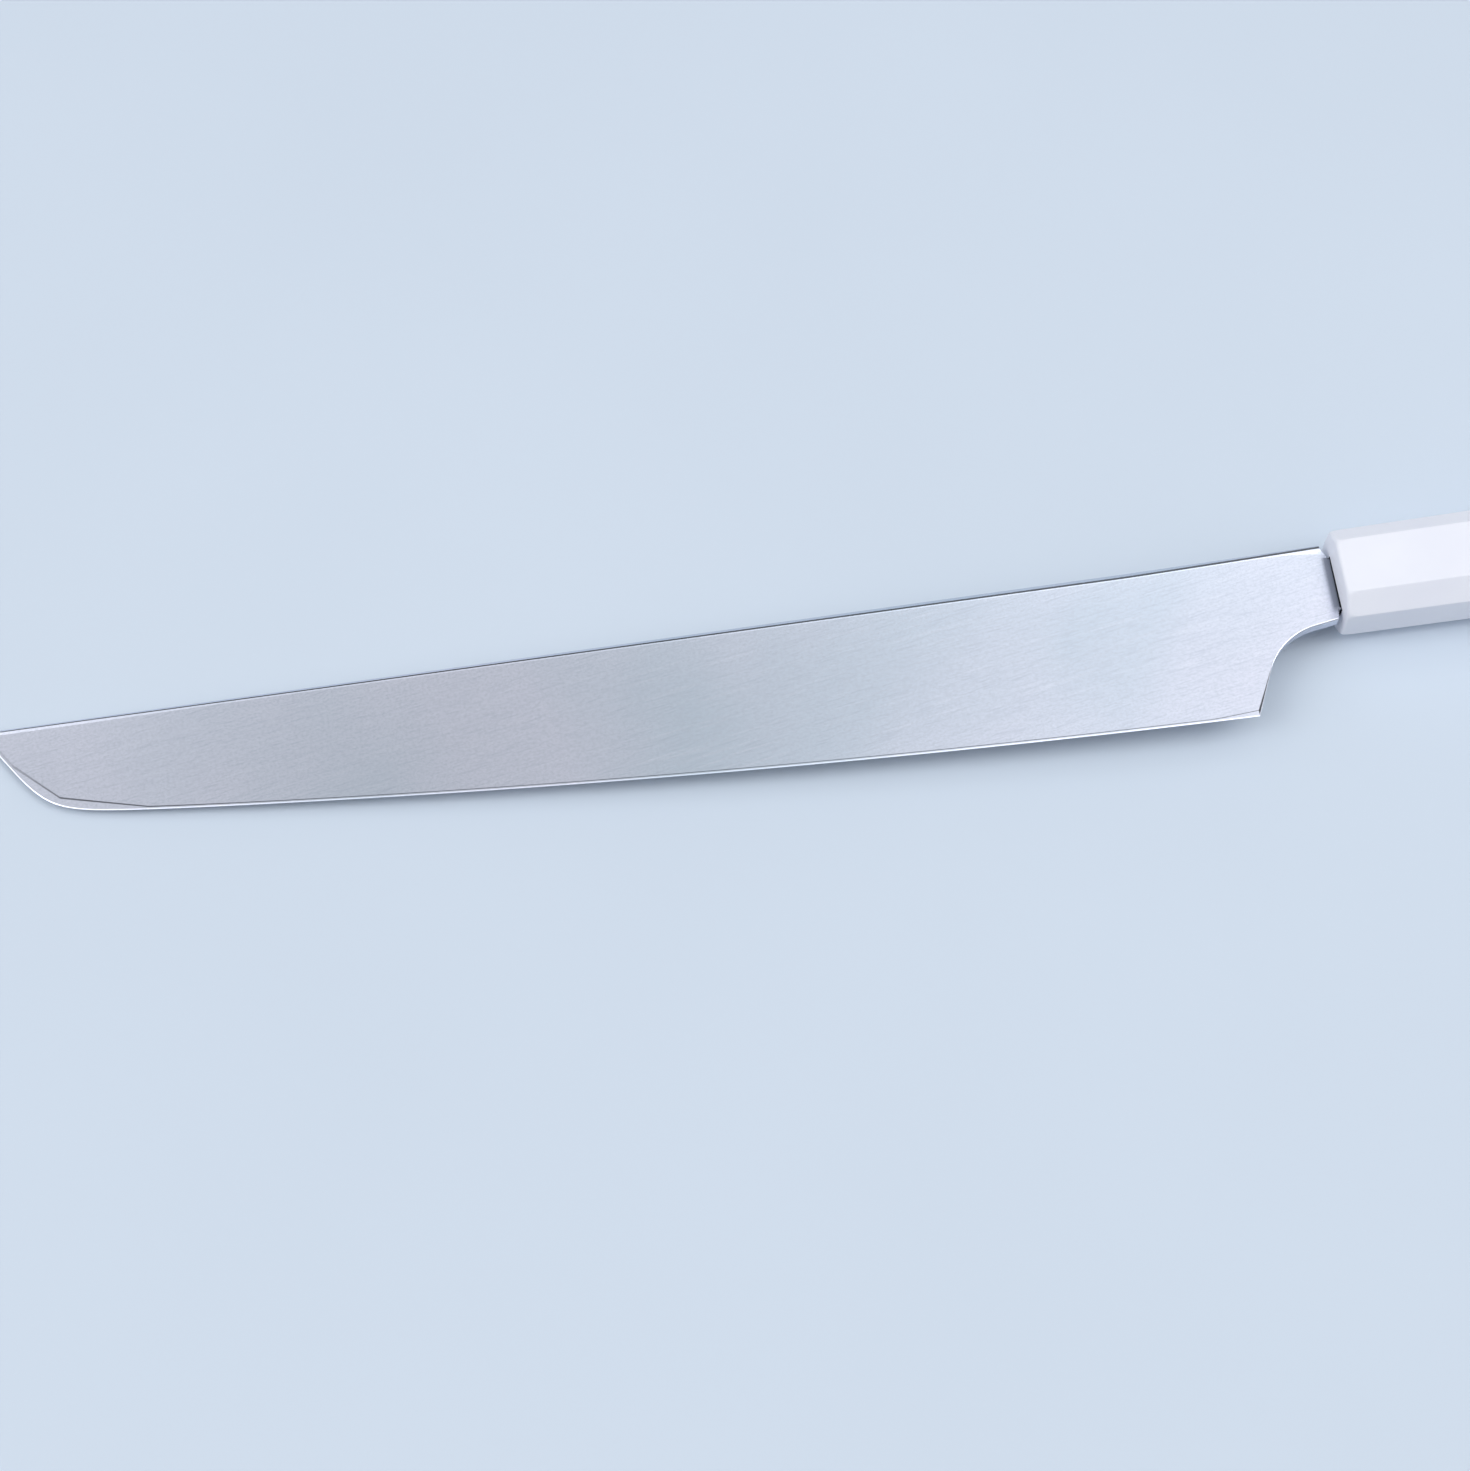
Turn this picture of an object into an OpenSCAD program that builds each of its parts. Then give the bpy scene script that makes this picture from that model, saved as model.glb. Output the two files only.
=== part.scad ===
// Sword-tipped slicing knife: one hollow-ground, single-bevel blade in an octagonal handle.
// The handle is bored from the butt, a sawn dowel grips the tang and a plug closes the bore.
// The knife lies on its side: tip to -X, edge to -Y and the hollow back of the blade to +Z.
// Sizes are in millimetres.

/* [Blade outline] */
// Length from the tip to the front of the handle
blade_len = 300; // [240:1:330]
// Distance from the heel corner to the front of the handle
heel_setback = 22.7; // [19:0.1:30]
// Height of the blade at the heel, from spine to edge
heel_h = 37.9; // [31:0.1:44]
// Length of the slanted tip along the spine
kissaki_len = 14.9; // [10:0.1:26]
// Height of the blade where the slanted tip and the long edge would meet
belly_h = 21.2; // [15:0.1:26]
// Bow of the long edge below a straight line
edge_bow = 3; // [0:0.05:5]
// How tightly the belly turns from the long edge into the tip
belly_turn = 5; // [3:0.1:10]
// Height of the blunted point of the tip
point_h = 0.5; // [0.3:0.1:1.5]
// Height of the spine above the middle of the handle
spine_y = 9; // [7:0.1:9.5]

/* [Blade section] */
// Thickness at the front of the handle
neck_t = 3.2; // [2.4:0.1:4]
// Thickness that the flat of the bevelled side reaches at the tip
tip_t = 1.8; // [1.2:0.1:2.4]
// Thickness of the cutting edge
edge_t = 0.15; // [0.1:0.01:0.3]
// Width of the bevel at the heel
bevel_w = 15; // [10:0.5:22]
// Radius of the hollow ground into the back
hollow_r = 360; // [250:10:900]
// Width of the flat rim of the back along the spine
spine_rim = 0.5; // [0.3:0.1:1.5]
// Width of the flat rim of the back along the long edge
edge_rim = 0.5; // [0.2:0.1:1]
// Width of the flat rim of the back where the belly turns into the tip
tip_rim = 1.8; // [0.8:0.1:3]
// Distance from that turn at which the wide rim has half run out
tip_rim_reach = 10; // [6:0.5:24]
// Extra width of the rim at the heel corner
heel_rim = 0.8; // [0:0.1:2]
// Distance over which the rim at the heel corner runs out
heel_rim_len = 9; // [4:1:20]
// Radius of the spine's edges at the handle
spine_round = 1.3; // [0.3:0.05:1.5]
// Radius of the spine's edges at the tip
spine_round_tip = 0.8; // [0.2:0.05:0.9]

/* [Neck and tang] */
// Lean of the choil away from upright, in degrees
choil_lean = 24; // [10:1:35]
// Radius of the choil's round corner
choil_r = 15.2; // [8:0.1:17]
// Rise of the neck's lower line toward the handle, in degrees
neck_rise = 9; // [0:1:14]
// Height of the neck at the front of the handle
neck_h = 17.9; // [16.5:0.1:20]
// Gap between the shoulders and the front of the handle
shoulder_gap = 1.1; // [0.5:0.1:3]
// Slope of the upper shoulder, as its run along the blade
shoulder_run = 0.7; // [0.3:0.1:3]
// Height of the tang where it enters the handle
tang_h = 12.6; // [9:0.1:13]
// Height of the spine above the top of the tang
tang_drop = 3.2; // [2.4:0.1:3.8]
// Length over which the flat rim of the spine widens to the tang's top
neck_rim_len = 19; // [10:1:40]
// Length of the tang inside the handle
tang_len = 96; // [60:1:110]
// Height of the tang at its end
tang_end_h = 6; // [4:0.1:8]
// Thickness of the tang at its end
tang_end_t = 2.2; // [1.6:0.1:3]

/* [Handle] */
// Length of the handle
handle_len = 147; // [135:1:170]
// Height of the handle at the front, along the blade's height
front_h = 21; // [20:0.1:26]
// Thickness of the handle at the front
front_t = 18.7; // [18:0.1:22]
// Height of the handle at the butt
butt_h = 22.9; // [21:0.1:30]
// Thickness of the handle at the butt
butt_t = 21; // [20:0.1:26]
// Leg of the slanted facets at the front
front_facet = 4.3; // [3:0.1:5.5]
// Leg of the slanted facets at the butt
butt_facet = 4.8; // [3:0.1:6]
// Radius of the long edges between the facets
long_round = 0.5; // [0.3:0.1:1.4]
// Radius of the long edges where they reach an end
corner_round = 4; // [1.5:0.1:5]
// Distance from an end over which the long edges grow rounder
corner_run = 2.8; // [2:0.1:8]
// Radius of the edges round the two ends
end_round = 0.7; // [0.4:0.1:1.8]
// Thickness of the front wall
front_wall = 7; // [4:0.5:12]
// Clearance round the tang in the slot of the front wall
slot_clear = 0.15; // [0.05:0.05:0.4]
// Open length of the slot below the tang
slot_open = 0.3; // [0:0.1:2]

/* [Core] */
// Clearance between the tang's corners and the bore in the handle
bore_clear = 0.25; // [0.1:0.05:0.6]
// Clearance between the dowel and the bore
dowel_clear = 0.1; // [0.05:0.05:0.3]
// Clearance between the tang and each side of the saw cut in the dowel
saw_clear = 0.25; // [0.1:0.05:0.6]
// Length of the saw cut beyond the end of the tang
saw_over = 6; // [2:1:12]
// Distance that the adhesive stays back from the front wall
adhesive_back = 1; // [0:0.5:4]
// Width of the step between the plug's head and the bore
plug_lip = 0.9; // [0.5:0.1:1.2]
// Thickness of the plug's head
plug_head = 4; // [2:0.5:8]
// Length of the plug's spigot in the bore
plug_spigot = 8; // [3:0.5:14]

/* [Hidden] */
$fn = 96;
cut = 1; // reach of a cutter past the surface that it cuts
tip_steps = 26; // rings round the slanted tip and the belly
edge_steps = 22; // rings along the long edge
choil_steps = 9; // rings round the choil's arc
hollow_steps = 12; // facets across the hollow
round_steps = 4; // facets round a spine edge or a handle edge
end_steps = 3; // facets round an edge of the handle's ends, and along the rounder corners
tip_crowding = 1.2; // how much closer the rings stand toward the point
corner_of_t = 0.42; // most of the spine's thickness that one rounded corner may take
corner_of_h = 0.15; // most of the blade's height that a rounded corner or the spine's rim may take
rim_of_h = 0.35; // most of the blade's height that the edge's rim may take
least_step = 0.1; // least distance between neighbouring points of a section

steel = [0.76, 0.78, 0.82];
white_resin = [0.95, 0.95, 0.96];
wood = [0.76, 0.62, 0.43];
cured_resin = [0.86, 0.8, 0.62];

// Blade: places along it are measured from where the slanted tip would run out on the spine
back_z = neck_t / 2;
kissaki_slope = belly_h / kissaki_len;
point_u = point_h / kissaki_slope;
face_u = point_u + blade_len;
heel_u = face_u - heel_setback;
tip_zone = 3 * kissaki_len;
neck_u = face_u - neck_rim_len;
end_u = face_u + tang_len;

function mix(a, b, s) = a + (b - a) * s;
function long_edge(u) = let (s = (u - kissaki_len) / (heel_u - kissaki_len))
    mix(belly_h, heel_h, s) + 4 * edge_bow * s * (1 - s);

// Depth of the edge below the spine: the slanted tip and the long edge, blended at the belly
function edge_depth(u) = let (slant = kissaki_slope * u, long = long_edge(u))
    pow(pow(slant, -belly_turn) + pow(long, -belly_turn), -1 / belly_turn);
function edge_y(u) = spine_y - edge_depth(u);
function edge_slope(u) = let (du = point_u / 2) (edge_depth(u + du) - edge_depth(u - du)) / (2 * du);
// Widths across the edge are measured square to it, so they grow with its slope in an upright section
function edge_lean(u) = sqrt(1 + pow(edge_slope(u), 2));

// Thickness of the flat side, thinning to the tip and along the tang
function flat_t(u) = u < face_u
    ? mix(tip_t, neck_t, u / face_u)
    : mix(neck_t, tang_end_t, (u - face_u) / tang_len);
bevel_slope = (flat_t(heel_u) - edge_t) / bevel_w;

// Bevelled side of the section: the bevel rises from the edge until it meets the flat
function front_z(u, y) = back_z - min(flat_t(u), edge_t + bevel_slope * (y - edge_y(u)) / edge_lean(u));
function ridge_y(u) = edge_y(u) + (flat_t(u) - edge_t) / bevel_slope * edge_lean(u);
function corner_r(u) = min(
    mix(spine_round_tip, spine_round, min(1, u / face_u)),
    corner_of_t * (back_z - front_z(u, spine_y)),
    corner_of_h * edge_depth(u));

// Hollow back of the section, between the flat rims along the edge and along the spine
function rim_at_edge(u) = let (
        tip_extra = (tip_rim - edge_rim) / (1 + pow((u - kissaki_len) / tip_rim_reach, 4)),
        heel_extra = heel_rim * max(0, 1 - abs(heel_u - u) / heel_rim_len)
    ) min(rim_of_h * edge_depth(u), edge_lean(u) * (edge_rim + tip_extra + heel_extra));
function rim_at_spine(u) = let (
        neck_extra = max(0, tang_drop - spine_round - spine_rim),
        s = max(0, (min(u, face_u) - neck_u) / neck_rim_len)
    ) min(corner_of_h * edge_depth(u), spine_rim + neck_extra * s * s);
function hollow_low(u) = edge_y(u) + rim_at_edge(u);
function hollow_top(u) = spine_y - corner_r(u) - rim_at_spine(u);
function hollow_z(u, y) = back_z - max(0, (y - hollow_low(u)) * (hollow_top(u) - y)) / (2 * hollow_r);

// Choil: a leaning line from the heel, an arc and the neck's rising line
heel_y = edge_y(heel_u);
neck_low = spine_y - neck_h;
choil_run = (neck_low - heel_y - heel_setback * tan(neck_rise)) / (1 / tan(choil_lean) - tan(neck_rise));
choil_corner = [choil_run - heel_setback, heel_y + choil_run / tan(choil_lean)];
choil_tangent = choil_r * tan((90 - choil_lean - neck_rise) / 2);
arc_start = choil_corner - choil_tangent * [sin(choil_lean), cos(choil_lean)];
arc_end = choil_corner + choil_tangent * [cos(neck_rise), sin(neck_rise)];
arc_centre = arc_start + choil_r * [cos(choil_lean), -sin(choil_lean)];
function choil_y(x) = x < arc_start.x
    ? heel_y + (x + heel_setback) / tan(choil_lean)
    : x < arc_end.x
        ? arc_centre.y + sqrt(pow(choil_r, 2) - pow(x - arc_centre.x, 2))
        : neck_low + x * tan(neck_rise);

// Tang: it starts at two shoulders in front of the handle and narrows to its end
tang_top = spine_y - tang_drop;
tang_low = tang_top - tang_h;
tang_end_y = (tang_top + tang_low) / 2;
low_shoulder = [-shoulder_gap, -shoulder_gap / 2];
top_shoulder = [-shoulder_gap - shoulder_run, -shoulder_gap / 2];
function ramp(x, ends, a, b) = mix(a, b, (x - ends[0]) / (ends[1] - ends[0]));
function tang_low_y(x) = mix(tang_low, tang_end_y - tang_end_h / 2, max(0, x) / tang_len);
function tang_top_y(x) = mix(tang_top, tang_end_y + tang_end_h / 2, max(0, x) / tang_len);

// Lower and upper outline of the steel at any place along it
function low_y(u) = let (x = u - face_u)
    u <= heel_u ? edge_y(u)
    : x <= low_shoulder[0] ? choil_y(x)
    : x < low_shoulder[1] ? ramp(x, low_shoulder, choil_y(low_shoulder[0]), tang_low)
    : tang_low_y(x);
function top_y(u) = let (x = u - face_u)
    x <= top_shoulder[0] ? spine_y
    : x < top_shoulder[1] ? ramp(x, top_shoulder, spine_y, tang_top)
    : tang_top_y(x);

// Upright section of the steel as a ring of points: lower wall, hollow back, rounded spine, flat and bevel
function blade_ring(u) = let (
        x = u - face_u,
        r = corner_r(u),
        low = low_y(u),
        round_y = top_y(u) - r,
        from_y = max(hollow_low(u), low + least_step),
        to_y = min(hollow_top(u), round_y - least_step),
        flat_z = front_z(u, top_y(u)),
        bend_y = min(max(ridge_y(u), low + least_step), round_y - least_step),
        bend_z = front_z(u, bend_y)
    ) [
        [x, low, max(front_z(u, low), bend_z + least_step)],
        [x, low, hollow_z(u, low)],
        for (i = [0 : hollow_steps]) let (y = mix(from_y, to_y, i / hollow_steps)) [x, y, hollow_z(u, y)],
        for (i = [0 : round_steps]) let (a = 90 - 90 * i / round_steps)
            [x, round_y + r * cos(a), hollow_z(u, round_y) - r + r * sin(a)],
        for (i = [0 : round_steps]) let (a = -90 * i / round_steps)
            [x, round_y + r * cos(a), flat_z + r + r * sin(a)],
        [x, bend_y, bend_z],
    ];

// Stations of the rings: close together at the tip and round the choil, wide apart along edge and tang
tang_stations = [face_u, end_u];
blade_stations = [
    for (i = [0 : tip_steps - 1]) mix(point_u, tip_zone, pow(i / tip_steps, tip_crowding)),
    for (i = [0 : edge_steps - 1]) mix(tip_zone, heel_u, i / edge_steps),
    heel_u,
    for (i = [0 : choil_steps]) let (a = mix(180 - choil_lean, 90 + neck_rise, i / choil_steps))
        face_u + arc_centre.x + choil_r * cos(a),
    face_u + mix(arc_end.x, top_shoulder[0], 0.5),
    face_u + top_shoulder[0],
    face_u + low_shoulder[0],
    face_u + low_shoulder[1],
    each tang_stations,
];

// Skin over rings that all have the same number of points
module loft(rings) {
    n = len(rings[0]);
    last = len(rings) - 1;
    sides = [
        for (i = [0 : last - 1], j = [0 : n - 1])
            let (k = (j + 1) % n, a = i * n, b = a + n)
                each [[a + j, a + k, b + k], [a + j, b + k, b + j]],
    ];
    first_cap = [for (j = [n - 1 : -1 : 0]) j];
    last_cap = [for (j = [0 : n - 1]) last * n + j];
    polyhedron([for (ring = rings) each ring], concat(sides, [first_cap, last_cap]));
}

module steel_between(stations) {
    loft([for (u = stations) blade_ring(u)]);
}

module blade() {
    color(steel) translate(frame_shift) steel_between(blade_stations);
}

// Handle: half sizes and facets along it, growing to the butt
function half_h(x) = mix(front_h, butt_h, x / handle_len) / 2;
function half_t(x) = mix(front_t, butt_t, x / handle_len) / 2;
function facet(x) = mix(front_facet, butt_facet, x / handle_len);
facet_inset = 2 - sqrt(2); // change of a facet's leg for each unit that the octagon shrinks

// Radius of the long edges, growing rounder toward both ends
function long_r(x) = let (s = min(1, min(x, handle_len - x) / corner_run))
    mix(corner_round, long_round, 1 - pow(1 - s, 2));

// The frame has its origin under the middle of the knife, on the surface that the handle lies on
low_z = -half_t(handle_len - end_round);
high_y = half_h(handle_len - end_round);
frame_shift = [(blade_len - handle_len) / 2, -(high_y + heel_y) / 2, -low_z];

// Octagon with rounded corners, shrunk all round by the given amount
function handle_ring(x, shrink) = let (
        r = long_r(x),
        inset = shrink + r,
        h = half_h(x) - inset,
        t = half_t(x) - inset,
        leg = facet(x) - inset * facet_inset,
        corners = [
            [h, t - leg], [h - leg, t], [leg - h, t], [-h, t - leg],
            [-h, leg - t], [leg - h, -t], [h - leg, -t], [h, leg - t],
        ]
    ) [
        for (i = [0 : 7], k = [0 : round_steps]) let (a = 45 * (i + k / round_steps))
            [x, corners[i].x + r * cos(a), corners[i].y + r * sin(a)],
    ];

// Rings of the handle from one end, as distance from it and shrink: a quarter round and the rounder corners
end_profile = [
    for (i = [0 : end_steps]) let (a = 90 * i / end_steps) end_round * [1 - cos(a), 1 - sin(a)],
    for (i = [1 : end_steps]) [mix(end_round, corner_run, i / end_steps), 0],
];
handle_rings = [
    for (p = end_profile) handle_ring(p.x, p.y),
    for (i = [len(end_profile) - 1 : -1 : 0]) let (p = end_profile[i]) handle_ring(handle_len - p.x, p.y),
];

// Cylinder along the handle
module along(x0, x1, d) {
    translate([x0, 0, 0]) rotate([0, 90, 0]) cylinder(d = d, h = x1 - x0);
}

slot_t = neck_t + 2 * slot_clear;
slot_top = tang_top + slot_clear;
slot_low = tang_low - slot_open - slot_clear;
bore_d = 2 * (norm([max(tang_top, -tang_low), neck_t / 2]) + bore_clear);
plug_d = bore_d + 2 * plug_lip;
dowel_end = handle_len - plug_head - plug_spigot;
dowel_d = bore_d - 2 * dowel_clear;
saw_t = neck_t + 2 * saw_clear;
saw_end = tang_len + saw_over;

module handle_shell() {
    color(white_resin) translate(frame_shift) difference() {
        loft(handle_rings);
        translate([-cut, slot_low, -slot_t / 2])
            cube([front_wall + 2 * cut, slot_top - slot_low, slot_t]);
        along(front_wall, handle_len + cut, bore_d);
        along(handle_len - plug_head, handle_len + cut, plug_d);
    }
}

// Saw cut across the dowel, open at its front
module saw_cut(x0) {
    translate([x0, -bore_d, -saw_t / 2]) cube([saw_end - x0, 2 * bore_d, saw_t]);
}

module core_dowel() {
    color(wood) translate(frame_shift) difference() {
        along(front_wall, dowel_end, dowel_d);
        saw_cut(front_wall - cut);
    }
}

module tang_adhesive() {
    color(cured_resin) translate(frame_shift) difference() {
        intersection() {
            along(front_wall, dowel_end, dowel_d);
            saw_cut(front_wall + adhesive_back);
        }
        steel_between(tang_stations);
    }
}

module butt_plug() {
    color(white_resin) translate(frame_shift) {
        along(dowel_end, handle_len - plug_head, dowel_d);
        along(handle_len - plug_head, handle_len, plug_d - 2 * dowel_clear);
    }
}

blade();
handle_shell();
core_dowel();
tang_adhesive();
butt_plug();
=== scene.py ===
"""Looks of the sword-tipped slicing knife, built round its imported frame.

Everything is in metres and in the frame of the part. The knife is described in its own axes:
x from the front of the handle to the butt, y from the handle's middle toward the spine and
z out of the hollow back of the blade.
"""

import math

import bpy
from mathutils import Matrix, Vector


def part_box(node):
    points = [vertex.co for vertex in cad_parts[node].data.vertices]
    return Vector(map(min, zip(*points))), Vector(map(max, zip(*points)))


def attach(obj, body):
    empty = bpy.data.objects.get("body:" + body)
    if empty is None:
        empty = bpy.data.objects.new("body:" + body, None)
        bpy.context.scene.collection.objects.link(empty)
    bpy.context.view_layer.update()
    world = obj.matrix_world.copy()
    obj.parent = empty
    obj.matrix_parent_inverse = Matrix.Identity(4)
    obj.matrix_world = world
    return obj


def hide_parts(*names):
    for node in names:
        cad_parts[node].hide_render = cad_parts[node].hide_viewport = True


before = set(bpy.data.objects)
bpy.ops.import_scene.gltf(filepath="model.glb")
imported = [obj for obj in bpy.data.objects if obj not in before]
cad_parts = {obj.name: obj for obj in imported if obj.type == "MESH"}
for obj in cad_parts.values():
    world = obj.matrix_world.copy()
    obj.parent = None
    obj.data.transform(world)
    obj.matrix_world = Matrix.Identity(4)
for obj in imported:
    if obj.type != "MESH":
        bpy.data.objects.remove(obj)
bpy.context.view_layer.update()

MM = 0.001

# Sizes read from the frame
BLADE_LOW, BLADE_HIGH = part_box("blade")
HANDLE_LOW, HANDLE_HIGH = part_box("handle_shell")
DOWEL_LOW, DOWEL_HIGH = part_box("core_dowel")
PLUG_LOW, PLUG_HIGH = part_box("butt_plug")
HANDLE_MIDDLE = (HANDLE_LOW + HANDLE_HIGH) / 2
FRONT = Vector((HANDLE_LOW.x, HANDLE_MIDDLE.y, HANDLE_MIDDLE.z))
BLADE_LEN = FRONT.x - BLADE_LOW.x
TANG_LEN = BLADE_HIGH.x - FRONT.x
SPINE_Y = BLADE_HIGH.y - FRONT.y
HEEL_H = BLADE_HIGH.y - BLADE_LOW.y
BACK_Z = BLADE_HIGH.z - FRONT.z
NECK_T = 2 * BACK_Z
HANDLE_LEN = HANDLE_HIGH.x - HANDLE_LOW.x
FRONT_WALL = DOWEL_LOW.x - FRONT.x
DOWEL_END = DOWEL_HIGH.x - FRONT.x
DOWEL_R = (DOWEL_HIGH.y - DOWEL_LOW.y) / 2
HEAD_R = (PLUG_HIGH.y - PLUG_LOW.y) / 2

# Blade outline, as in the part's source
HEEL_SETBACK = 22.7 * MM
KISSAKI_LEN = 14.9 * MM
BELLY_H = 21.2 * MM
EDGE_BOW = 3 * MM
BELLY_TURN = 5
POINT_H = 0.5 * MM
CHOIL_LEAN = math.radians(24)
CHOIL_R = 15.2 * MM
NECK_RISE = math.radians(9)
NECK_H = 17.9 * MM
SHOULDER_GAP = 1.1 * MM
SHOULDER_RUN = 0.7 * MM
TANG_H = 12.6 * MM
TANG_DROP = 3.2 * MM
TANG_END_H = 6 * MM

# Blade section, as in the part's source
TIP_T = 1.8 * MM
TANG_END_T = 2.2 * MM
EDGE_T = 0.15 * MM
BEVEL_W = 15 * MM
HOLLOW_R = 360 * MM
EDGE_RIM = 0.5 * MM
HEEL_RIM = 0.8 * MM
HEEL_RIM_LEN = 9 * MM
NECK_RIM_LEN = 19 * MM
CORNER_OF_T = 0.42
CORNER_OF_H = 0.15
RIM_OF_H = 0.35
LEAST_STEP = 0.1 * MM

# Fine forms that the blade gets only here: broken edges
EDGE_BREAK_W = 0.25 * MM
CHOIL_BREAK_W = 0.15 * MM
BREAK_SLOPE = 0.2
NECK_ROUND = 0.15 * MM
NECK_ROUND_LEAST = 0.01 * MM
WALL_LEAST_SHARE = 0.1

# Fine forms that the blade gets only here: the kink of the flat rim behind the slanted tip
RIM_KINK_U = 17.2 * MM
RIM_KINK_DEPTH = 18.1 * MM
RIM_SLOPE_FORE = 0.88
RIM_SLOPE_AFT = 0.25

# Fine forms that the blade gets only here: the bevelled spine and the sloping borders of the hollow
SPINE_BEVEL = 1.15 * MM
SPINE_BEVEL_TIP = 0.4 * MM
SPINE_BEVEL_NECK = 0.25 * MM
SPINE_BEVEL_RUN = 45 * MM
SPINE_RIM = 0.55 * MM
SPINE_RIM_TIP = 0.22 * MM
SPINE_RIM_SLOPE = 0.27
BORDER_W = 0.25 * MM
TIP_BORDER_W = 0.6 * MM
TIP_BORDER_REACH = 40 * MM
TIP_BORDER_FALL = 4
NECK_BORDER_W = 1.8 * MM
NECK_BORDER_FALL = 3
SPINE_SIDE_SLOPE = 0.135
EDGE_SIDE_SLOPE = 0.2

# Painted shade: a dark band on the tang in front of the handle, darkest at the handle's front
HANDLE_SHADE_AT = -2.1 * MM
HANDLE_SHADE_FADE = 0.8 * MM
HANDLE_SHADE_OVER = 1.0 * MM

# Handle, as in the part's source
BUTT_H = 22.9 * MM
FRONT_H = 21 * MM
FRONT_T = 18.7 * MM
BUTT_T = 21 * MM
FRONT_FACET = 4.3 * MM
BUTT_FACET = 4.8 * MM
LONG_ROUND = 0.5 * MM
CORNER_ROUND = 4 * MM
CORNER_RUN = 2.8 * MM
END_ROUND = 0.7 * MM
SLOT_CLEAR = 0.15 * MM
SLOT_OPEN = 0.3 * MM
DOWEL_CLEAR = 0.1 * MM
PLUG_HEAD = 4 * MM
PLUG_RIM = 0.4 * MM

# Fineness of the meshes
TIP_STEPS = 90
TIP_CROWDING = 1.2
EDGE_STEPS = 90
CHOIL_STEPS = 28
TANG_STEPS = 6
HOLLOW_STEPS = 28
SPINE_STEPS = 8
HANDLE_ROUND_STEPS = 8
HANDLE_FLAT_STEPS = 6
END_STEPS = 12
PLUG_POINTS = 96
SHARP_ANGLE = math.radians(20)
NEARLY_NOUGHT = 1e-9


def mix(a, b, s):
    return a + (b - a) * s


def place(x, y, z):
    """A point of the knife in the frame of the part."""
    return FRONT + Vector((x, y, z))


# Blade outline: places along it are measured from where the slanted tip would run out on the spine
TIP_SLOPE = BELLY_H / KISSAKI_LEN
POINT_U = POINT_H / TIP_SLOPE
FACE_U = POINT_U + BLADE_LEN
HEEL_U = FACE_U - HEEL_SETBACK
TIP_ZONE = 3 * KISSAKI_LEN


def edge_depth(u):
    """Depth of the cutting edge below the spine: the slanted tip and the long edge, blended."""
    s = (u - KISSAKI_LEN) / (HEEL_U - KISSAKI_LEN)
    long_edge = mix(BELLY_H, HEEL_H, s) + 4 * EDGE_BOW * s * (1 - s)
    slant = TIP_SLOPE * u
    return (slant ** -BELLY_TURN + long_edge ** -BELLY_TURN) ** (-1 / BELLY_TURN)


def edge_y(u):
    return SPINE_Y - edge_depth(u)


def edge_lean(u):
    """Growth of a width square to the edge when it is measured in an upright section."""
    du = POINT_U / 2
    return math.hypot(1, (edge_depth(u + du) - edge_depth(u - du)) / (2 * du))


HEEL_Y = edge_y(HEEL_U)
NECK_LOW = SPINE_Y - NECK_H
CHOIL_RUN = (NECK_LOW - HEEL_Y - HEEL_SETBACK * math.tan(NECK_RISE)) / (
    1 / math.tan(CHOIL_LEAN) - math.tan(NECK_RISE))
CHOIL_CORNER = Vector((CHOIL_RUN - HEEL_SETBACK, HEEL_Y + CHOIL_RUN / math.tan(CHOIL_LEAN)))
CHOIL_TANGENT = CHOIL_R * math.tan((math.pi / 2 - CHOIL_LEAN - NECK_RISE) / 2)
ARC_START = CHOIL_CORNER - CHOIL_TANGENT * Vector((math.sin(CHOIL_LEAN), math.cos(CHOIL_LEAN)))
ARC_END = CHOIL_CORNER + CHOIL_TANGENT * Vector((math.cos(NECK_RISE), math.sin(NECK_RISE)))
ARC_CENTRE = ARC_START + CHOIL_R * Vector((math.cos(CHOIL_LEAN), -math.sin(CHOIL_LEAN)))

TANG_TOP = SPINE_Y - TANG_DROP
TANG_LOW = TANG_TOP - TANG_H
TANG_END_Y = (TANG_TOP + TANG_LOW) / 2
SHOULDER_FOOT = -SHOULDER_GAP / 2
TOP_SHOULDER = -SHOULDER_GAP - SHOULDER_RUN


def choil_y(x):
    """Lower outline from the heel to the shoulder: a leaning line, an arc and the neck's rising line."""
    if x < ARC_START.x:
        return HEEL_Y + (x + HEEL_SETBACK) / math.tan(CHOIL_LEAN)
    if x < ARC_END.x:
        return ARC_CENTRE.y + math.sqrt(CHOIL_R ** 2 - (x - ARC_CENTRE.x) ** 2)
    return NECK_LOW + x * math.tan(NECK_RISE)


def low_y(u):
    """Lower outline of the steel."""
    x = u - FACE_U
    if u <= HEEL_U:
        return edge_y(u)
    if x <= -SHOULDER_GAP:
        return choil_y(x)
    if x < SHOULDER_FOOT:
        return mix(choil_y(-SHOULDER_GAP), TANG_LOW, (x + SHOULDER_GAP) / (SHOULDER_FOOT + SHOULDER_GAP))
    return mix(TANG_LOW, TANG_END_Y - TANG_END_H / 2, max(0, x) / TANG_LEN)


def top_y(u):
    """Upper outline of the steel."""
    x = u - FACE_U
    if x <= TOP_SHOULDER:
        return SPINE_Y
    if x < SHOULDER_FOOT:
        return mix(SPINE_Y, TANG_TOP, (x - TOP_SHOULDER) / (SHOULDER_FOOT - TOP_SHOULDER))
    return mix(TANG_TOP, TANG_END_Y + TANG_END_H / 2, max(0, x) / TANG_LEN)


def flat_t(u):
    """Thickness at the flat side, thinning to the tip and along the tang."""
    if u < FACE_U:
        return mix(TIP_T, NECK_T, u / FACE_U)
    return mix(NECK_T, TANG_END_T, (u - FACE_U) / TANG_LEN)


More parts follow.
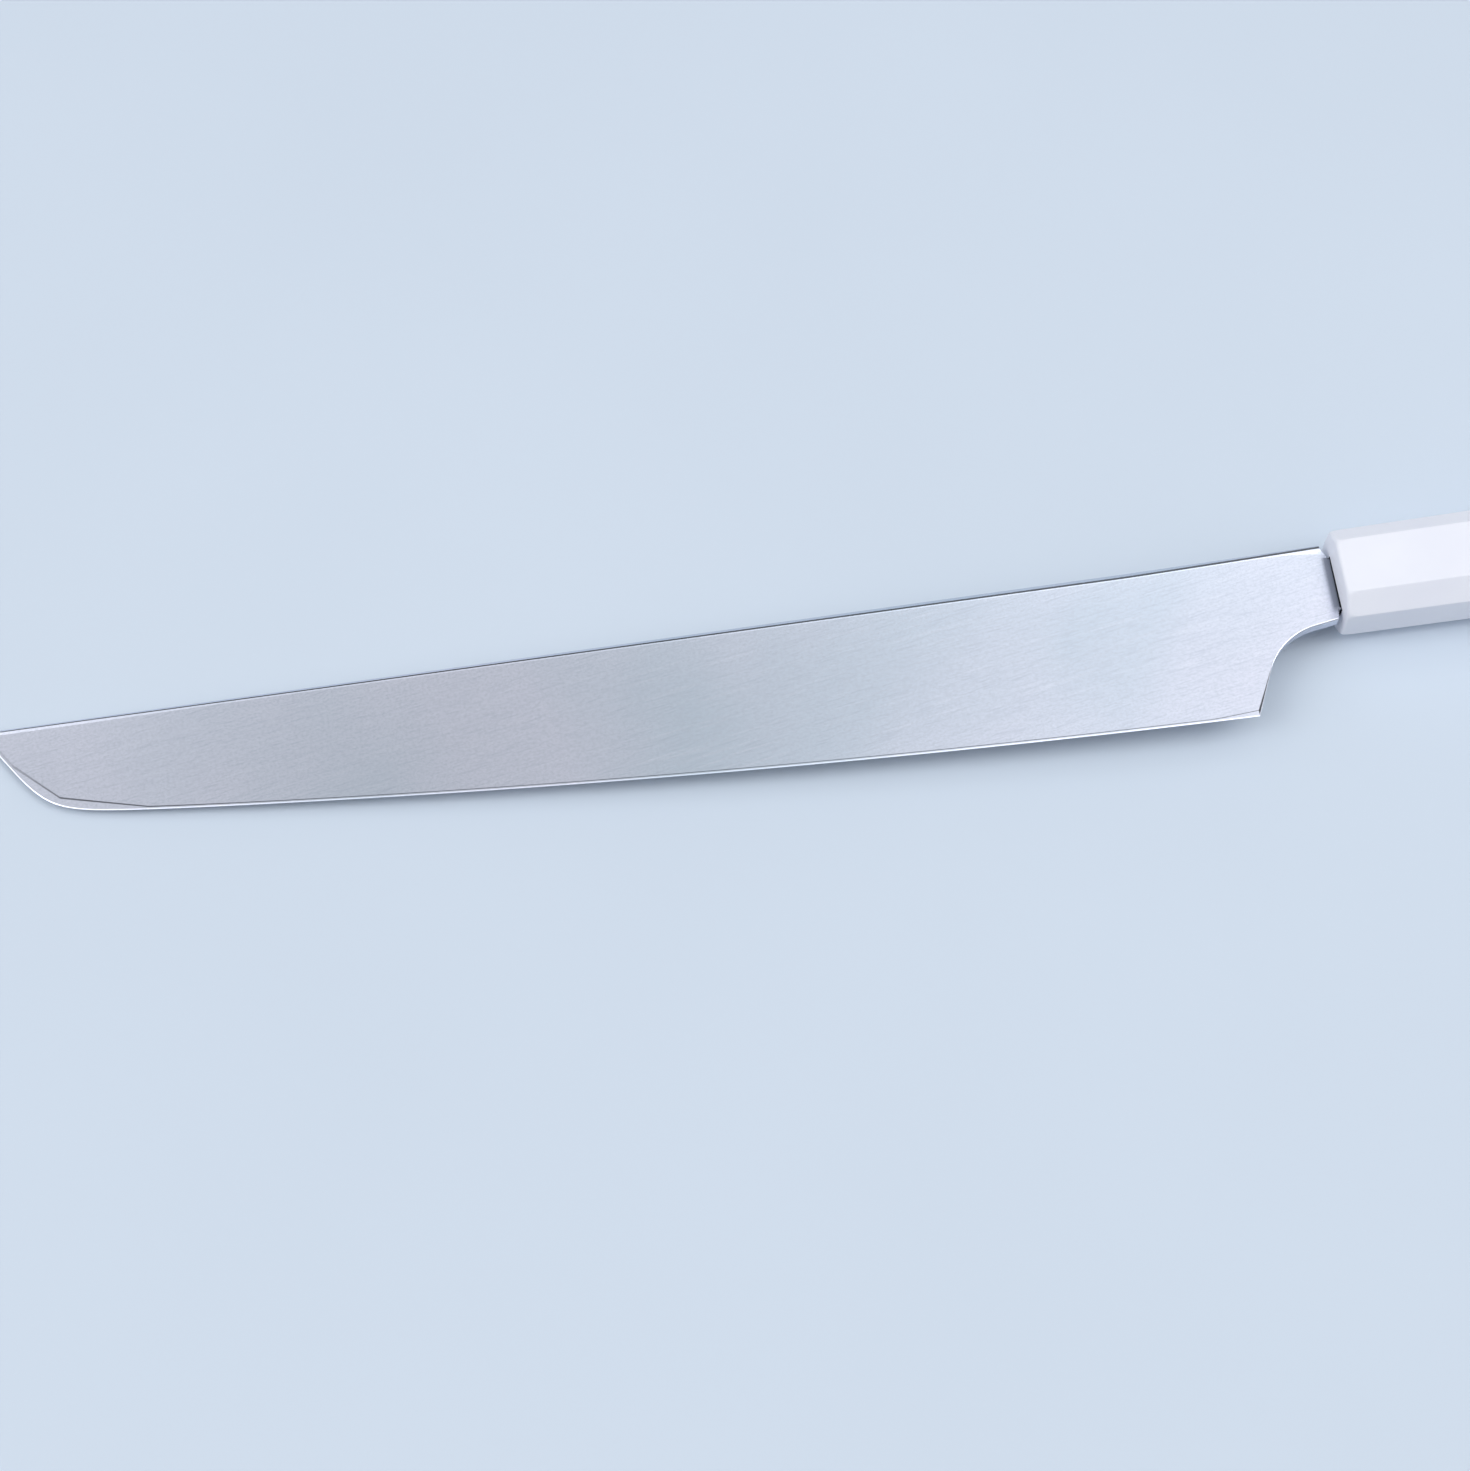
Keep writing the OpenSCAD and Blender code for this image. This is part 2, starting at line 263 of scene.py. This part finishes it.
BEVEL_SLOPE = (flat_t(HEEL_U) - EDGE_T) / BEVEL_W


def front_z(u, y):
    """Bevelled side: the bevel rises from the edge until it meets the flat."""
    return BACK_Z - min(flat_t(u), EDGE_T + BEVEL_SLOPE * (y - edge_y(u)) / edge_lean(u))


def near_neck(u):
    """Nought along the blade, growing to one at the handle."""
    return max(0, 1 - (FACE_U - min(u, FACE_U)) / NECK_RIM_LEN)


def corner_r(u):
    """Width of the spine's two corners: the bevel on the back and the round on the flat side."""
    wanted = mix(SPINE_BEVEL_TIP, SPINE_BEVEL, min(1, u / FACE_U))
    to_handle = max(0, FACE_U - u)
    wanted = mix(SPINE_BEVEL_NECK, wanted, min(1, to_handle / SPINE_BEVEL_RUN))
    thickness = BACK_Z - front_z(u, SPINE_Y)
    return min(wanted, CORNER_OF_T * thickness, CORNER_OF_H * edge_depth(u))


def hollow_low(u):
    """Lower border of the hollow: it follows the edge, wider at the heel, and has a kink at the belly."""
    heel_extra = HEEL_RIM * max(0, 1 - abs(HEEL_U - u) / HEEL_RIM_LEN)
    rim = edge_lean(u) * (EDGE_RIM + heel_extra)
    along_edge = edge_depth(u) - min(RIM_OF_H * edge_depth(u), rim)
    slope = RIM_SLOPE_FORE if u < RIM_KINK_U else RIM_SLOPE_AFT
    return SPINE_Y - min(along_edge, RIM_KINK_DEPTH + slope * (u - RIM_KINK_U))


def spine_rim(u):
    """Width of the gently falling rim between the hollow and the spine's bevelled corner."""
    return min(CORNER_OF_H * edge_depth(u), mix(SPINE_RIM_TIP, SPINE_RIM, min(1, u / FACE_U)))


def hollow_top(u):
    """Upper border of the hollow."""
    return SPINE_Y - corner_r(u) - spine_rim(u)


def spine_border_w(u):
    """Width of the hollow's border below the spine: wide along the tip, a triangle before the handle."""
    at_tip = 1 / (1 + (u / TIP_BORDER_REACH) ** TIP_BORDER_FALL)
    at_neck = near_neck(u) ** NECK_BORDER_FALL
    wanted = BORDER_W + (TIP_BORDER_W - BORDER_W) * at_tip + (NECK_BORDER_W - BORDER_W) * at_neck
    return min(wanted, CORNER_OF_H * edge_depth(u))


def border_depth(u):
    """Depth of the sloping borders, the same along the spine and along the edge."""
    return SPINE_SIDE_SLOPE * spine_border_w(u)


def edge_border_w(u):
    """Width of the steeper border above the edge, in an upright section."""
    return border_depth(u) / EDGE_SIDE_SLOPE * edge_lean(u)


def back_z(u, y):
    """Hollow back of the blade: two sloping borders and a round floor between them."""
    low = hollow_low(u) + edge_border_w(u)
    top = hollow_top(u) - spine_border_w(u)
    edge_side = (y - hollow_low(u)) / edge_border_w(u)
    spine_side = (hollow_top(u) - y) / spine_border_w(u)
    border = border_depth(u) * max(0, min(1, edge_side, spine_side))
    return BACK_Z - border - max(0, (y - low) * (top - y)) / (2 * HOLLOW_R)


# Lines of the ring that stay sharp: the wall under the edge, the borders of the hollow and the ridge.
# Four points of the wall and the broken edge come first in the ring.
HOLLOW_AT = 4
SPINE_AT = HOLLOW_AT + HOLLOW_STEPS + 3
RIDGE_AT = SPINE_AT + 2 + SPINE_STEPS + 1
SHARP_LINES = (0, 1, 2, 3, HOLLOW_AT, HOLLOW_AT + 1, SPINE_AT - 2, SPINE_AT - 1, RIDGE_AT)


def blade_ring(u):
    """Upright section of the steel: lower wall, broken edge, hollow back, spine, flat and bevel."""
    x = u - FACE_U
    r = corner_r(u)
    low = low_y(u)
    broken = break_w(u)
    broken_y = low + neck_round(u) + broken
    round_y = top_y(u) - r
    from_y = max(hollow_low(u), broken_y + LEAST_STEP)
    to_y = min(hollow_top(u), round_y - LEAST_STEP)
    flat_z = front_z(u, top_y(u))
    ridge = edge_y(u) + (flat_t(u) - EDGE_T) / BEVEL_SLOPE * edge_lean(u)
    bend_y = min(max(ridge, low + LEAST_STEP), round_y - LEAST_STEP)
    bend_z = front_z(u, bend_y)
    wall_z = max(front_z(u, low), bend_z + LEAST_STEP)
    break_z = BACK_Z - BREAK_SLOPE * broken / edge_lean(min(u, HEEL_U))
    turn = neck_round(u)
    ring = [
        (x, low, wall_z),
        (x, low, max(break_z - turn, mix(wall_z, break_z, WALL_LEAST_SHARE))),
        (x, low + turn, break_z),
        (x, broken_y, BACK_Z),
    ]
    foot_y = max(hollow_low(u) + edge_border_w(u), from_y + LEAST_STEP / 2)
    head_y = min(hollow_top(u) - spine_border_w(u), to_y - LEAST_STEP / 2)
    across = [mix(foot_y, head_y, i / HOLLOW_STEPS) for i in range(HOLLOW_STEPS + 1)]
    for y in (from_y, *across, to_y):
        ring.append((x, y, back_z(u, y)))
    rim_z = BACK_Z - SPINE_RIM_SLOPE * spine_rim(u)
    ring.append((x, round_y, rim_z))
    ring.append((x, top_y(u), rim_z - r))
    for i in range(SPINE_STEPS + 1):
        a = -math.pi / 2 * i / SPINE_STEPS
        ring.append((x, round_y + r * math.cos(a), flat_z + r + r * math.sin(a)))
    ring.append((x, bend_y, bend_z))
    return ring


def neck_round(u):
    """Broken corner along the underside of the neck, running out round the choil."""
    x = u - FACE_U
    along_neck = min(1, max(0, (x - ARC_START.x) / (ARC_END.x - ARC_START.x)))
    return mix(NECK_ROUND_LEAST, NECK_ROUND, along_neck)


def break_w(u):
    """Width of the broken edge in an upright section."""
    if u > HEEL_U:
        return CHOIL_BREAK_W
    return min(EDGE_BREAK_W, CORNER_OF_H * edge_depth(u))


def blade_stations():
    """Places of the rings: close together at the tip and round the choil."""
    tip = [mix(POINT_U, TIP_ZONE, (i / TIP_STEPS) ** TIP_CROWDING) for i in range(TIP_STEPS)]
    edge = [mix(TIP_ZONE, HEEL_U, i / EDGE_STEPS) for i in range(EDGE_STEPS + 1)]
    choil = []
    for i in range(CHOIL_STEPS + 1):
        turn = mix(math.pi - CHOIL_LEAN, math.pi / 2 + NECK_RISE, i / CHOIL_STEPS)
        choil.append(FACE_U + ARC_CENTRE.x + CHOIL_R * math.cos(turn))
    neck = [FACE_U + mix(ARC_END.x, TOP_SHOULDER, i / TANG_STEPS) for i in range(1, TANG_STEPS + 1)]
    shoulders = [FACE_U - SHOULDER_GAP, FACE_U + SHOULDER_FOOT]
    tang = [FACE_U + TANG_LEN * i / TANG_STEPS for i in range(TANG_STEPS + 1)]
    return tip + edge + choil + neck + shoulders + tang


def ring_mesh(name, rings, closed=False, sharp_lines=()):
    """A solid skinned over rings of equally many points, ended by caps or closed on itself."""
    n = len(rings[0])
    count = len(rings)
    points = [place(*p) for ring in rings for p in ring]
    faces = []
    for i in range(count if closed else count - 1):
        a = i * n
        b = (i + 1) % count * n
        for j in range(n):
            k = (j + 1) % n
            faces.append((a + j, b + j, b + k, a + k))
    if not closed:
        faces.append(tuple(range(n)))
        faces.append(tuple((count - 1) * n + j for j in reversed(range(n))))
    mesh = bpy.data.meshes.new(name)
    mesh.from_pydata(points, [], faces)
    mesh.shade_smooth()
    mesh.set_sharp_from_angle(angle=SHARP_ANGLE)
    for edge in mesh.edges:
        a, b = edge.vertices
        if a % n == b % n and a % n in sharp_lines:
            edge.use_edge_sharp = True
    piece = bpy.data.objects.new(name, mesh)
    bpy.context.scene.collection.objects.link(piece)
    return piece


def make_blade():
    rings = [blade_ring(u) for u in blade_stations()]
    blade = ring_mesh("blade_steel", rings, sharp_lines=SHARP_LINES)
    blade.data.materials.append(steel_material())
    return blade


# Handle
def long_r(x):
    """Radius of the long edges, growing rounder toward both ends."""
    s = min(1, min(x, HANDLE_LEN - x) / CORNER_RUN)
    return mix(CORNER_ROUND, LONG_ROUND, 1 - (1 - s) ** 2)


def handle_ring(x, shrink):
    """Octagon with rounded corners and points along its flats, shrunk all round."""
    s = x / HANDLE_LEN
    r = long_r(x)
    inset = shrink + r
    h = mix(FRONT_H, BUTT_H, s) / 2 - inset
    t = mix(FRONT_T, BUTT_T, s) / 2 - inset
    leg = mix(FRONT_FACET, BUTT_FACET, s) - inset * (2 - math.sqrt(2))
    corners = [(h, t - leg), (h - leg, t), (leg - h, t), (-h, t - leg),
               (-h, leg - t), (leg - h, -t), (h - leg, -t), (h, leg - t)]
    ring = []
    for i in range(8):
        y, z = corners[i]
        next_y, next_z = corners[(i + 1) % 8]
        for k in range(HANDLE_ROUND_STEPS):
            a = math.pi / 4 * (i + k / HANDLE_ROUND_STEPS)
            ring.append((x, y + r * math.cos(a), z + r * math.sin(a)))
        a = math.pi / 4 * (i + 1)
        for k in range(HANDLE_FLAT_STEPS):
            along = k / HANDLE_FLAT_STEPS
            flat_y = mix(y, next_y, along) + r * math.cos(a)
            flat_z = mix(z, next_z, along) + r * math.sin(a)
            ring.append((x, flat_y, flat_z))
    return ring


def end_profile():
    """Rings from one end, as distance from it and shrink: a quarter round and the rounder corners."""
    profile = []
    for i in range(END_STEPS + 1):
        a = math.pi / 2 * i / END_STEPS
        profile.append((END_ROUND * (1 - math.cos(a)), END_ROUND * (1 - math.sin(a))))
    for i in range(1, END_STEPS + 1):
        profile.append((mix(END_ROUND, CORNER_RUN, i / END_STEPS), 0))
    return profile


def round_ring(x, r, angles):
    return [(x, r * math.cos(a), r * math.sin(a)) for a in angles]


def slot_ring(x, angles):
    """Rectangle of the slot, with points in the directions of the angles and one at each corner."""
    half = NECK_T / 2 + SLOT_CLEAR
    top = TANG_TOP + SLOT_CLEAR
    low = TANG_LOW - SLOT_OPEN - SLOT_CLEAR
    ring = []
    for a in angles:
        c, s = math.cos(a), math.sin(a)
        across = half / max(abs(s), NEARLY_NOUGHT)
        along = (top if c > 0 else -low) / max(abs(c), NEARLY_NOUGHT)
        reach = min(across, along)
        ring.append((x, reach * c, reach * s))
    for corner in ((top, half), (low, half), (low, -half), (top, -half)):
        nearest = min(range(len(ring)), key=lambda j: math.dist(ring[j][1:], corner))
        ring[nearest] = (x, *corner)
    return ring


def make_handle():
    """Shell from its front face round the outside to the butt and back through the bore to the slot."""
    profile = end_profile()
    front = [handle_ring(x, shrink) for x, shrink in profile]
    butt = [handle_ring(HANDLE_LEN - x, shrink) for x, shrink in reversed(profile)]
    angles = [math.atan2(z, y) for _, y, z in front[0]]
    head_r = HEAD_R + DOWEL_CLEAR
    bore_r = DOWEL_R + DOWEL_CLEAR
    inside = [
        round_ring(HANDLE_LEN, head_r, angles),
        round_ring(HANDLE_LEN - PLUG_HEAD, head_r, angles),
        round_ring(HANDLE_LEN - PLUG_HEAD, bore_r, angles),
        round_ring(FRONT_WALL, bore_r, angles),
        slot_ring(FRONT_WALL, angles),
        slot_ring(0, angles),
    ]
    rings = front + butt + inside
    handle = ring_mesh("handle_white", rings, closed=True)
    handle.data.materials.append(resin_material())
    # The second material is painted shade on the slot's inner walls.
    handle.data.materials.append(slot_shade_material())
    n = len(angles)
    slot_start = (len(rings) - 2) * n
    for face in handle.data.polygons[slot_start:slot_start + n]:
        face.material_index = 1
    return handle


def make_plug():
    """Round plug: spigot, shoulder and a head with a broken rim."""
    angles = [2 * math.pi * i / PLUG_POINTS for i in range(PLUG_POINTS)]
    profile = [
        (DOWEL_END, DOWEL_R),
        (HANDLE_LEN - PLUG_HEAD, DOWEL_R),
        (HANDLE_LEN - PLUG_HEAD, HEAD_R),
        (HANDLE_LEN - PLUG_RIM, HEAD_R),
        (HANDLE_LEN, HEAD_R - PLUG_RIM),
    ]
    plug = ring_mesh("butt_plug_white", [round_ring(x, r, angles) for x, r in profile])
    plug.data.materials.append(resin_material())
    return plug


# Materials
class Shader:
    """Short way to write a node tree with one principled shader."""

    def __init__(self, name):
        self.material = bpy.data.materials.new(name)
        self.material.use_nodes = True
        self.tree = self.material.node_tree
        self.shader = self.tree.nodes["Principled BSDF"]

    def node(self, kind, **inputs):
        made = self.tree.nodes.new(kind)
        for key, value in inputs.items():
            self.feed(made.inputs[key.replace("_", " ")], value)
        return made

    def feed(self, socket, value):
        if isinstance(value, bpy.types.NodeSocket):
            self.tree.links.new(value, socket)
        else:
            socket.default_value = value

    def set(self, **inputs):
        for key, value in inputs.items():
            self.feed(self.shader.inputs[key.replace("_", " ")], value)

    def place(self, turn=0, stretch=(1, 1, 1)):
        """Object coordinates, turned about the upright axis and stretched."""
        coords = self.node("ShaderNodeTexCoord").outputs["Object"]
        turned = self.node("ShaderNodeVectorRotate", Vector=coords, Angle=turn)
        scaled = self.node("ShaderNodeVectorMath", Vector=turned.outputs["Vector"])
        scaled.operation = "MULTIPLY"
        scaled.inputs[1].default_value = stretch
        return scaled.outputs["Vector"]

    def noise(self, vector, scale, detail=2.0, roughness=0.5):
        made = self.node("ShaderNodeTexNoise", Vector=vector, Scale=scale)
        made.inputs["Detail"].default_value = detail
        made.inputs["Roughness"].default_value = roughness
        return made.outputs["Fac"]

    def span(self, value, low, high, start=0.3, end=0.7):
        """A noise value spread over a range."""
        made = self.node("ShaderNodeMapRange", Value=value)
        for key, number in (("From Min", start), ("From Max", end), ("To Min", low), ("To Max", high)):
            made.inputs[key].default_value = number
        return made.outputs["Result"]

    def times(self, a, b):
        made = self.node("ShaderNodeMath")
        made.operation = "MULTIPLY"
        self.feed(made.inputs[0], a)
        self.feed(made.inputs[1], b)
        return made.outputs["Value"]

    def blend(self, factor, a, b):
        made = self.node("ShaderNodeMix")
        made.data_type = "RGBA"
        self.feed(made.inputs["Factor"], factor)
        self.feed(made.inputs["A"], a)
        self.feed(made.inputs["B"], b)
        return next(o for o in made.outputs if o.type == "RGBA")

    def bump(self, height, distance, strength):
        made = self.node("ShaderNodeBump", Height=height, Distance=distance, Strength=strength)
        return made.outputs["Normal"]


def linear(red, green, blue):
    """A colour written as it shows on a screen, 0 to 255."""
    def curve(v):
        v = v / 255
        return v / 12.92 if v <= 0.04045 else ((v + 0.055) / 1.055) ** 2.4
    return (curve(red), curve(green), curve(blue), 1.0)


def steel_material():
    """Satin steel with hairlines that lean over the blade, wide soft tints and painted shade on the tang
    in front of the handle.
    """
    m = Shader("blade_steel")
    hairlines = m.noise(m.place(turn=math.radians(-10), stretch=(220, 2800, 300)), 1.0, detail=4)
    strokes = m.noise(m.place(turn=math.radians(-9), stretch=(70, 1500, 300)), 1.0, detail=3)
    grain = m.noise(m.place(stretch=(1, 1.3, 1)), 1500, detail=2)
    clouds = m.noise(m.place(turn=math.radians(20), stretch=(1, 0.6, 1)), 22, detail=2, roughness=0.4)
    tint = m.blend(m.span(clouds, 0, 1, 0.3, 0.6), linear(206, 217, 228), linear(225, 227, 239))
    tint = m.blend(m.span(hairlines, 0, 0.46, 0.5, 0.8), tint, linear(186, 193, 206))
    tint = m.blend(m.span(strokes, 0, 0.32, 0.55, 0.8), tint, linear(238, 241, 250))
    tint = m.blend(m.span(grain, 0, 0.45, 0.4, 0.7), tint, linear(200, 206, 217))
    coords = m.node("ShaderNodeSeparateXYZ", Vector=m.node("ShaderNodeTexCoord").outputs["Object"])
    along = coords.outputs["X"]
    # Painted shade: the steel darkens toward the handle's front face, over the tang.
    shade_start = FRONT.x + HANDLE_SHADE_AT
    painted_shade = m.blend(m.span(along, 0, 1, shade_start, FRONT.x), linear(164, 169, 180), linear(126, 131, 142))
    m.set(Base_Color=m.blend(handle_shade_mask(m, along, coords.outputs["Y"]), tint, painted_shade), Metallic=1.0)
    m.set(Roughness=m.span(hairlines, 0.22, 0.24))
    m.set(Normal=m.bump(hairlines, 0.003 * MM, strength=0.01))
    return m.material


def handle_shade_mask(m, along, across):
    """One where shade is painted on the tang, which starts just in front of the handle, and nought on the
    blade.
    """
    start = FRONT.x + HANDLE_SHADE_AT
    low = FRONT.y + TANG_LOW
    top = FRONT.y + TANG_TOP
    started = m.span(along, 0, 1, start, start + HANDLE_SHADE_FADE)
    above = m.span(across, 0, 1, low - HANDLE_SHADE_OVER, low + HANDLE_SHADE_OVER)
    below = m.span(across, 1, 0, top, top + LEAST_STEP)
    return m.times(started, m.times(above, below))


def slot_shade_material():
    """Painted shade inside the slot: a near-black colour standing in for the slot's deep shadow."""
    m = Shader("slot_painted_shade")
    clouds = m.noise(m.place(), 500, detail=3)
    m.set(Base_Color=m.blend(m.span(clouds, 0, 1), linear(30, 34, 40), linear(46, 50, 56)))
    m.set(Roughness=m.span(clouds, 0.7, 0.85))
    return m.material


def resin_material():
    """White satin resin with a faint unevenness of its surface."""
    m = Shader("handle_resin")
    clouds = m.noise(m.place(), 60, detail=3)
    grain = m.noise(m.place(), 900, detail=2)
    m.set(Base_Color=m.blend(m.span(clouds, 0, 1), linear(238, 239, 248), linear(242, 243, 250)))
    m.set(Roughness=m.span(grain, 0.34, 0.42))
    m.set(Normal=m.bump(grain, 0.02 * MM, strength=0.15))
    return m.material


def wood_material():
    """Bare turned hardwood with grain along the dowel."""
    m = Shader("dowel_wood")
    grain = m.noise(m.place(stretch=(12, 420, 420)), 1.0, detail=5)
    pores = m.noise(m.place(stretch=(150, 2600, 2600)), 1.0, detail=2)
    tone = m.blend(m.span(grain, 0, 1), linear(190, 150, 103), linear(214, 180, 132))
    m.set(Base_Color=m.blend(m.span(pores, 0, 0.5, start=0.55, end=0.75), tone, linear(140, 102, 66)))
    m.set(Roughness=m.span(grain, 0.6, 0.75))
    m.set(Normal=m.bump(pores, 0.1 * MM, strength=0.4))
    return m.material


def adhesive_material():
    """Cured amber resin with trapped cloudiness."""
    m = Shader("tang_adhesive")
    clouds = m.noise(m.place(), 350, detail=3)
    m.set(Base_Color=m.blend(m.span(clouds, 0, 1), linear(206, 190, 146), linear(226, 213, 172)))
    m.set(Roughness=m.span(clouds, 0.4, 0.55))
    m.set(Normal=m.bump(clouds, 0.05 * MM, strength=0.3))
    return m.material


def floor_material():
    """Plain pale surface."""
    m = Shader("pale_floor")
    clouds = m.noise(m.place(), 9, detail=2)
    m.set(Base_Color=m.blend(m.span(clouds, 0, 1), linear(207, 218, 230), linear(209, 220, 232)))
    m.set(Roughness=m.span(clouds, 0.7, 0.75))
    return m.material


def stand_for(piece, node):
    """Lets a made piece stand for a node of the frame."""
    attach(piece, "root")
    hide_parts(node)


def dress_node(name, material):
    """Gives a carried-over node its material."""
    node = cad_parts[name]
    node.data.materials.clear()
    node.data.materials.append(material)


# Stage: the knife lies on its tip and on the front of its handle, so the floor leans along it
FLOOR_SIZE = 6.0
REST_X = END_ROUND
REST_Z = -FRONT_T / 2
TIP_REST_X = -283 * MM
TIP_REST_Z = -0.5 * MM


def make_floor():
    slope = (REST_Z - TIP_REST_Z) / (REST_X - TIP_REST_X)
    half = FLOOR_SIZE / 2
    corners = []
    for x, y in ((-half, -half), (half, -half), (half, half), (-half, half)):
        corners.append(place(x, y, REST_Z + slope * (x - REST_X)))
    mesh = bpy.data.meshes.new("floor")
    mesh.from_pydata(corners, [], [(0, 1, 2, 3)])
    mesh.materials.append(floor_material())
    floor = bpy.data.objects.new("floor", mesh)
    bpy.context.scene.collection.objects.link(floor)


# Camera: its place from the front of the handle and the directions of the picture's right and upper sides
CAMERA_LENS = 66.906
CAMERA_SENSOR = 36
CAMERA_AT = place(-143.78 * MM, -226.26 * MM, 557.89 * MM)
CAMERA_RIGHT = Vector((0.990143, -0.135152, -0.036736))
CAMERA_UP = Vector((0.139407, 0.925832, 0.351283))


def make_camera():
    """Camera above the edge side of the blade, turned a little along it."""
    data = bpy.data.cameras.new("camera")
    data.lens = CAMERA_LENS
    data.sensor_width = CAMERA_SENSOR
    camera = bpy.data.objects.new("camera", data)
    turn = Matrix((CAMERA_RIGHT, CAMERA_UP, CAMERA_RIGHT.cross(CAMERA_UP))).transposed()
    camera.matrix_world = Matrix.Translation(CAMERA_AT) @ turn.to_4x4()
    bpy.context.scene.collection.objects.link(camera)
    bpy.context.scene.camera = camera


# Lamps: two softboxes, one past each end of the blade
LAMP_OUT = 1.5
LAMP_ASIDE = -0.2
LAMP_HEIGHT = 1.8
LAMP_SIZE = 1.2
LAMP_POWER = 10.6


def make_softbox(name, x):
    """Square lamp at a distance along the knife from the blade's middle, tipped toward it."""
    data = bpy.data.lights.new(name, "AREA")
    data.shape = "SQUARE"
    data.size = LAMP_SIZE
    data.energy = LAMP_POWER
    lamp = bpy.data.objects.new(name, data)
    lamp.location = place(x - BLADE_LEN / 2, LAMP_ASIDE, LAMP_HEIGHT)
    lamp.rotation_euler.y = math.atan2(x, LAMP_HEIGHT)
    bpy.context.scene.collection.objects.link(lamp)


# Light of the room by direction: strength over the way toward the spine and over the way along the knife.
# Each stop is a component of the direction, from -1 to 1, and the strength there.
ROOM_TOP = 2.0
ROOM_ACROSS = ((-1.0, 0.30), (-0.5, 0.40), (-0.25, 0.85), (-0.06, 1.50), (0.06, 1.40), (0.16, 0.90),
               (0.22, 0.82), (0.31, 0.78), (0.38, 0.68), (0.46, 0.90), (0.52, 0.92), (0.58, 0.45),
               (0.66, 0.10), (0.82, 0.10), (0.92, 0.45), (1.0, 0.50))
ROOM_ALONG = ((-1.0, 0.40), (-0.92, 0.80), (-0.8, 1.15), (-0.5, 1.12), (-0.25, 1.06), (-0.10, 0.75),
              (0.03, 1.00), (0.15, 1.46), (0.30, 1.56), (0.50, 1.10), (0.8, 0.90), (0.92, 0.55),
              (1.0, 0.30))


def make_world():
    """Soft room light, dimmer behind the spine and past both ends, brighter toward the handle."""
    world = bpy.data.worlds.new("room")
    world.use_nodes = True
    tree = world.node_tree
    background = tree.nodes["Background"]
    coords = tree.nodes.new("ShaderNodeTexCoord")
    parts = tree.nodes.new("ShaderNodeSeparateXYZ")
    both = tree.nodes.new("ShaderNodeMath")
    both.operation = "MULTIPLY"
    tree.links.new(coords.outputs["Generated"], parts.inputs["Vector"])
    for axis, stops, socket in (("Y", ROOM_ACROSS, both.inputs[0]), ("X", ROOM_ALONG, both.inputs[1])):
        tree.links.new(room_curve(tree, parts.outputs[axis], stops), socket)
    tree.links.new(both.outputs["Value"], background.inputs["Strength"])
    background.inputs["Color"].default_value = linear(247, 250, 255)
    bpy.context.scene.world = world


def room_curve(tree, value, stops):
    """Strength of the room's light over one component of the direction."""
    curve = tree.nodes.new("ShaderNodeFloatCurve")
    points = curve.mapping.curves[0].points
    for i, (at, strength) in enumerate(stops):
        spot = ((at + 1) / 2, strength / ROOM_TOP)
        if i < 2:
            points[i].location = spot
        else:
            points.new(*spot)
    curve.mapping.update()
    half = tree.nodes.new("ShaderNodeMath")
    half.operation = "MULTIPLY_ADD"
    half.inputs[1].default_value = 0.5
    half.inputs[2].default_value = 0.5
    full = tree.nodes.new("ShaderNodeMath")
    full.operation = "MULTIPLY"
    full.inputs[1].default_value = ROOM_TOP
    tree.links.new(value, half.inputs[0])
    tree.links.new(half.outputs["Value"], curve.inputs["Value"])
    tree.links.new(curve.outputs["Value"], full.inputs[0])
    return full.outputs["Value"]


stand_for(make_blade(), "blade")
stand_for(make_handle(), "handle_shell")
stand_for(make_plug(), "butt_plug")
dress_node("core_dowel", wood_material())
dress_node("tang_adhesive", adhesive_material())

make_floor()
make_camera()
make_softbox("tip_side", -LAMP_OUT)
make_softbox("handle_side", LAMP_OUT)
make_world()
bpy.context.scene.view_settings.view_transform = "Standard"
